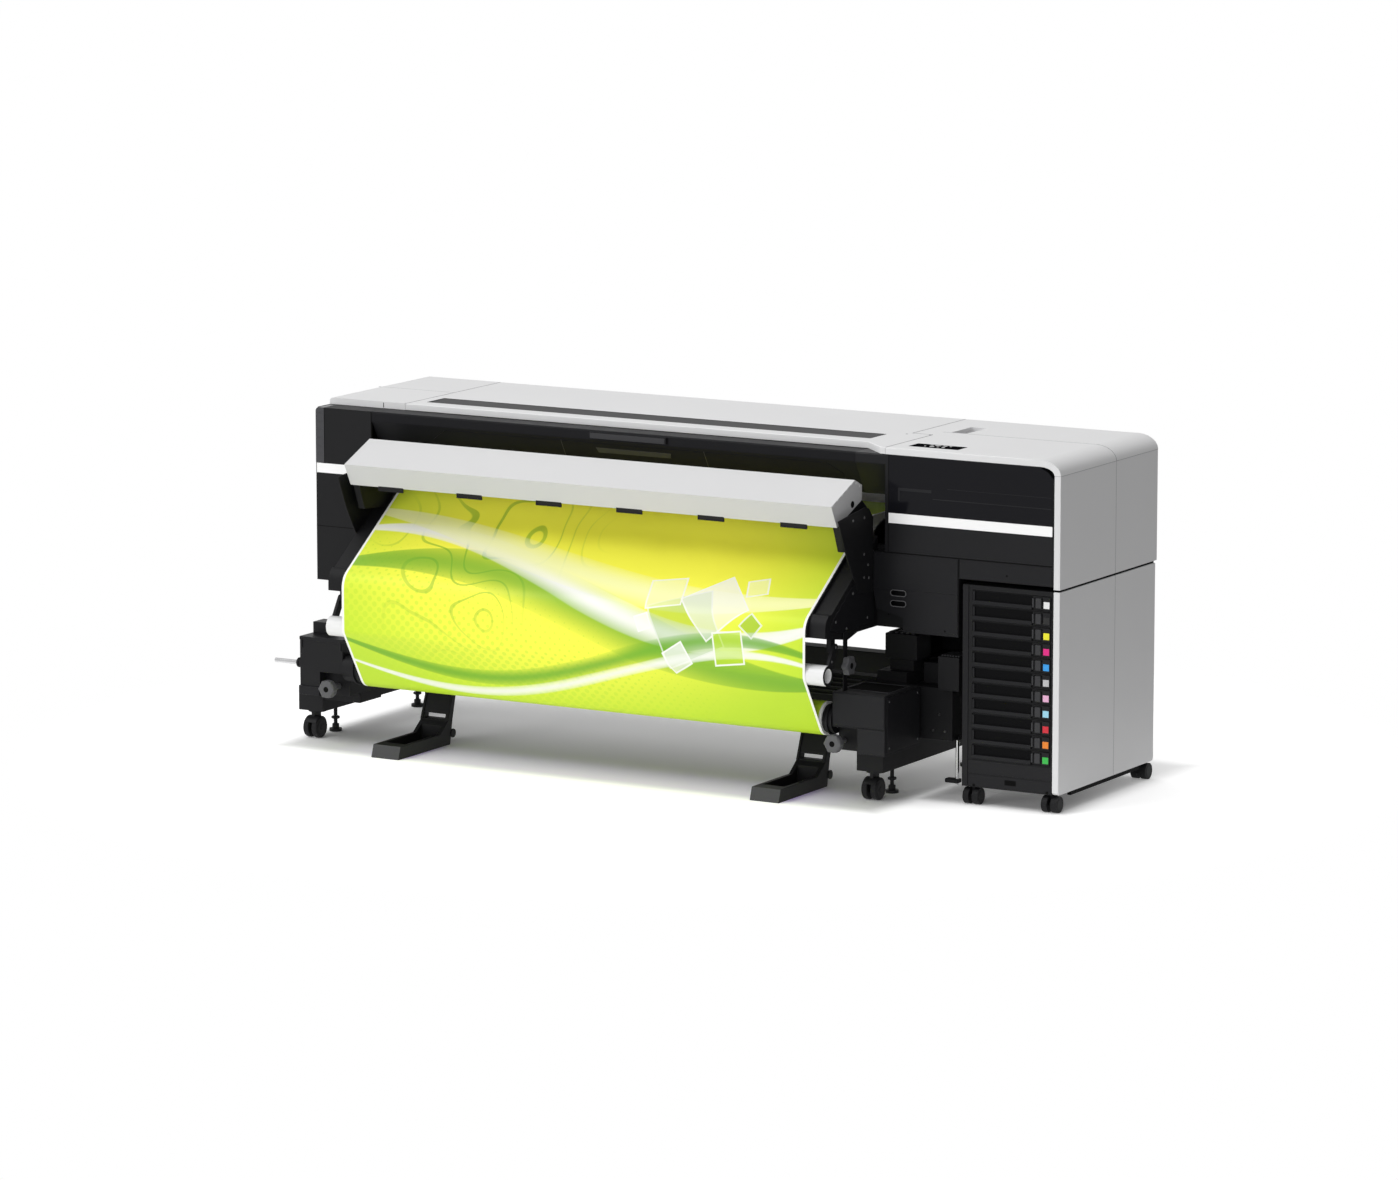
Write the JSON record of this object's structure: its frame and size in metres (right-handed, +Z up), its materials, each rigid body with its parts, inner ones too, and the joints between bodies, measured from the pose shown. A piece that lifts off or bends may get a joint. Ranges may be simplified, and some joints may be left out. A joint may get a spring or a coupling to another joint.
{
  "type": "printer cutter",
  "caption": "Wide-format roll-to-roll sign printer on a caster stand, with a hinged smoked cover, dryer hood, dancer bar, take-up unit and an ink cabinet at one side.",
  "frame": {"origin": "middle of the machine's bounding box, on the floor", "axes": "+X to the right as seen from the front, +Y to the back, +Z up"},
  "size_m": [2.656, 1.1631, 1.0515],
  "materials": {
    "white_cover": "satin",
    "white_tube": "painted white, satin",
    "smoked_cover": "dark smoked, polished",
    "black_gloss": "semi-gloss",
    "black_plastic": "fine grain",
    "black_steel": "black powder coat",
    "bare_aluminium": "satin",
    "bright_steel": "ground",
    "roller_rubber": "dull",
    "grey_plastic": "fine grain",
    "printed_vinyl": "printed, semi-gloss",
    "white_vinyl": "unprinted, semi-gloss"
  },
  "bodies": {
    "frame": {"after_heater": "black_steel", "base_frame": "black_steel", "carriage_rail": "bright_steel", "dryer_hood": "white_cover", "hood_arm_left": "black_steel", "hood_arm_right": "black_steel", "ink_cabinet": "black_steel", "left_end_cover": "black_plastic", "left_leg": "black_steel", "media_web": "printed_vinyl", "platen": "bare_aluminium", "rear_beam": "black_steel", "rear_cover": "black_plastic", "right_front_panel": "black_gloss", "right_leg": "black_steel", "right_side_panel": "white_cover", "roll_rest_left": "black_plastic", "roll_rest_right": "black_plastic", "take_up_block_left": "black_steel", "take_up_block_right": "black_steel", "top_cover_centre": "white_cover", "top_cover_left": "white_cover", "top_cover_right": "white_cover", "top_window": "smoked_cover", "touch_panel": "black_gloss"},
    "front_cover_body": {"front_cover": "smoked_cover"},
    "carriage_body": {"carriage": "black_plastic"},
    "feed_roller_body": {"feed_roller": "roller_rubber"},
    "take_up_roll_body": {"take_up_roll": "printed_vinyl"},
    "supply_roll_body": {"supply_roll": "white_vinyl"},
    "dancer_bar_body": {"dancer_bar": "white_tube"},
    "knob_left_body": {"knob_left": "grey_plastic"},
    "knob_right_body": {"knob_right": "grey_plastic"},
    "cabinet_caster_front_left_body": {"cabinet_caster_front_left": "roller_rubber"},
    "cabinet_caster_front_right_body": {"cabinet_caster_front_right": "roller_rubber"},
    "cabinet_caster_rear_left_body": {"cabinet_caster_rear_left": "roller_rubber"},
    "cabinet_caster_rear_right_body": {"cabinet_caster_rear_right": "roller_rubber"},
    "caster_fork_front_left_body": {"caster_fork_front_left": "black_steel"},
    "caster_fork_front_right_body": {"caster_fork_front_right": "black_steel"},
    "caster_fork_rear_left_body": {"caster_fork_rear_left": "black_steel"},
    "caster_fork_rear_right_body": {"caster_fork_rear_right": "black_steel"},
    "caster_wheels_front_left_body": {"caster_wheels_front_left": "roller_rubber"},
    "caster_wheels_front_right_body": {"caster_wheels_front_right": "roller_rubber"},
    "caster_wheels_rear_left_body": {"caster_wheels_rear_left": "roller_rubber"},
    "caster_wheels_rear_right_body": {"caster_wheels_rear_right": "roller_rubber"},
    "ink_tray_01_body": {"ink_tray_01": "black_plastic"},
    "ink_tray_02_body": {"ink_tray_02": "black_plastic"},
    "ink_tray_03_body": {"ink_tray_03": "black_plastic"},
    "ink_tray_04_body": {"ink_tray_04": "black_plastic"},
    "ink_tray_05_body": {"ink_tray_05": "black_plastic"},
    "ink_tray_06_body": {"ink_tray_06": "black_plastic"},
    "ink_tray_07_body": {"ink_tray_07": "black_plastic"},
    "ink_tray_08_body": {"ink_tray_08": "black_plastic"},
    "ink_tray_09_body": {"ink_tray_09": "black_plastic"},
    "ink_tray_10_body": {"ink_tray_10": "black_plastic"},
    "ink_tray_11_body": {"ink_tray_11": "black_plastic"},
    "levelling_foot_front_left_body": {"levelling_foot_front_left": "black_steel"},
    "levelling_foot_front_right_body": {"levelling_foot_front_right": "black_steel"},
    "levelling_foot_rear_left_body": {"levelling_foot_rear_left": "black_steel"},
    "levelling_foot_rear_right_body": {"levelling_foot_rear_right": "black_steel"}
  },
  "joints": [
    {"name": "front_cover_hinge", "type": "hinge", "parent": "frame", "child": "front_cover_body", "pos_m": [0, -0.20555, 1.0287], "axis": [-1, 0, 0], "range_deg": [0, 70]},
    {"name": "carriage_travel", "type": "slide", "parent": "frame", "child": "carriage_body", "axis": [1, 0, 0], "range_m": [-1.98, 0]},
    {"name": "feed_roller_spin", "type": "hinge", "parent": "frame", "child": "feed_roller_body", "pos_m": [0, 0.13545, 0.8044], "axis": [1, 0, 0], "continuous": true},
    {"name": "take_up_spin", "type": "hinge", "parent": "frame", "child": "take_up_roll_body", "pos_m": [0, -0.43455, 0.25], "axis": [1, 0, 0], "continuous": true},
    {"name": "supply_spin", "type": "hinge", "parent": "frame", "child": "supply_roll_body", "pos_m": [0, 0.51045, 0.58], "axis": [1, 0, 0], "continuous": true},
    {"name": "dancer_swing", "type": "hinge", "parent": "frame", "child": "dancer_bar_body", "pos_m": [0, -0.50155, 0.478], "axis": [1, 0, 0], "range_deg": [0, 40]},
    {"name": "knob_left_turn", "type": "hinge", "parent": "frame", "child": "knob_left_body", "pos_m": [-1.0965, -0.50455, 0.1873], "axis": [0, 1, 0], "continuous": true},
    {"name": "knob_right_turn", "type": "hinge", "parent": "frame", "child": "knob_right_body", "pos_m": [0.6905, -0.50455, 0.1873], "axis": [0, 1, 0], "continuous": true},
    {"name": "caster_swivel_front_left", "type": "hinge", "parent": "frame", "child": "caster_fork_front_left_body", "pos_m": [-1.238, -0.33755, 0.08], "axis": [0, 0, 1], "continuous": true},
    {"name": "caster_roll_front_left", "type": "hinge", "parent": "caster_fork_front_left_body", "child": "caster_wheels_front_left_body", "pos_m": [-1.238, -0.35155, 0.033], "axis": [1, 0, 0], "continuous": true},
    {"name": "caster_swivel_rear_left", "type": "hinge", "parent": "frame", "child": "caster_fork_rear_left_body", "pos_m": [-1.238, 0.34545, 0.08], "axis": [0, 0, 1], "continuous": true},
    {"name": "caster_roll_rear_left", "type": "hinge", "parent": "caster_fork_rear_left_body", "child": "caster_wheels_rear_left_body", "pos_m": [-1.238, 0.35945, 0.033], "axis": [1, 0, 0], "continuous": true},
    {"name": "foot_screw_front_left", "type": "hinge", "parent": "frame", "child": "levelling_foot_front_left_body", "pos_m": [-1.238, -0.23455, 0.04], "axis": [0, 0, 1], "continuous": true},
    {"name": "foot_screw_rear_left", "type": "hinge", "parent": "frame", "child": "levelling_foot_rear_left_body", "pos_m": [-1.238, 0.24545, 0.04], "axis": [0, 0, 1], "continuous": true},
    {"name": "caster_swivel_front_right", "type": "hinge", "parent": "frame", "child": "caster_fork_front_right_body", "pos_m": [0.748, -0.33755, 0.08], "axis": [0, 0, 1], "continuous": true},
    {"name": "caster_roll_front_right", "type": "hinge", "parent": "caster_fork_front_right_body", "child": "caster_wheels_front_right_body", "pos_m": [0.748, -0.35155, 0.033], "axis": [1, 0, 0], "continuous": true},
    {"name": "caster_swivel_rear_right", "type": "hinge", "parent": "frame", "child": "caster_fork_rear_right_body", "pos_m": [0.748, 0.34545, 0.08], "axis": [0, 0, 1], "continuous": true},
    {"name": "caster_roll_rear_right", "type": "hinge", "parent": "caster_fork_rear_right_body", "child": "caster_wheels_rear_right_body", "pos_m": [0.748, 0.35945, 0.033], "axis": [1, 0, 0], "continuous": true},
    {"name": "foot_screw_front_right", "type": "hinge", "parent": "frame", "child": "levelling_foot_front_right_body", "pos_m": [0.748, -0.23455, 0.04], "axis": [0, 0, 1], "continuous": true},
    {"name": "foot_screw_rear_right", "type": "hinge", "parent": "frame", "child": "levelling_foot_rear_right_body", "pos_m": [0.748, 0.24545, 0.04], "axis": [0, 0, 1], "continuous": true},
    {"name": "cabinet_swivel_front_left", "type": "hinge", "parent": "frame", "child": "cabinet_caster_front_left_body", "pos_m": [1.037, -0.24955, 0.04], "axis": [0, 0, 1], "continuous": true},
    {"name": "cabinet_swivel_rear_left", "type": "hinge", "parent": "frame", "child": "cabinet_caster_rear_left_body", "pos_m": [1.037, 0.32545, 0.04], "axis": [0, 0, 1], "continuous": true},
    {"name": "cabinet_swivel_front_right", "type": "hinge", "parent": "frame", "child": "cabinet_caster_front_right_body", "pos_m": [1.298, -0.24955, 0.04], "axis": [0, 0, 1], "continuous": true},
    {"name": "cabinet_swivel_rear_right", "type": "hinge", "parent": "frame", "child": "cabinet_caster_rear_right_body", "pos_m": [1.298, 0.32545, 0.04], "axis": [0, 0, 1], "continuous": true},
    {"name": "tray_pull_01", "type": "slide", "parent": "frame", "child": "ink_tray_01_body", "axis": [0, -1, 0], "range_m": [0, 0.3]},
    {"name": "tray_pull_02", "type": "slide", "parent": "frame", "child": "ink_tray_02_body", "axis": [0, -1, 0], "range_m": [0, 0.3]},
    {"name": "tray_pull_03", "type": "slide", "parent": "frame", "child": "ink_tray_03_body", "axis": [0, -1, 0], "range_m": [0, 0.3]},
    {"name": "tray_pull_04", "type": "slide", "parent": "frame", "child": "ink_tray_04_body", "axis": [0, -1, 0], "range_m": [0, 0.3]},
    {"name": "tray_pull_05", "type": "slide", "parent": "frame", "child": "ink_tray_05_body", "axis": [0, -1, 0], "range_m": [0, 0.3]},
    {"name": "tray_pull_06", "type": "slide", "parent": "frame", "child": "ink_tray_06_body", "axis": [0, -1, 0], "range_m": [0, 0.3]},
    {"name": "tray_pull_07", "type": "slide", "parent": "frame", "child": "ink_tray_07_body", "axis": [0, -1, 0], "range_m": [0, 0.3]},
    {"name": "tray_pull_08", "type": "slide", "parent": "frame", "child": "ink_tray_08_body", "axis": [0, -1, 0], "range_m": [0, 0.3]},
    {"name": "tray_pull_09", "type": "slide", "parent": "frame", "child": "ink_tray_09_body", "axis": [0, -1, 0], "range_m": [0, 0.3]},
    {"name": "tray_pull_10", "type": "slide", "parent": "frame", "child": "ink_tray_10_body", "axis": [0, -1, 0], "range_m": [0, 0.3]},
    {"name": "tray_pull_11", "type": "slide", "parent": "frame", "child": "ink_tray_11_body", "axis": [0, -1, 0], "range_m": [0, 0.3]}
  ],
  "couplings": [
    {"joint": "take_up_spin", "follows": "feed_roller_spin", "ratio": 0.36},
    {"joint": "supply_spin", "follows": "feed_roller_spin", "ratio": 0.2571}
  ]
}
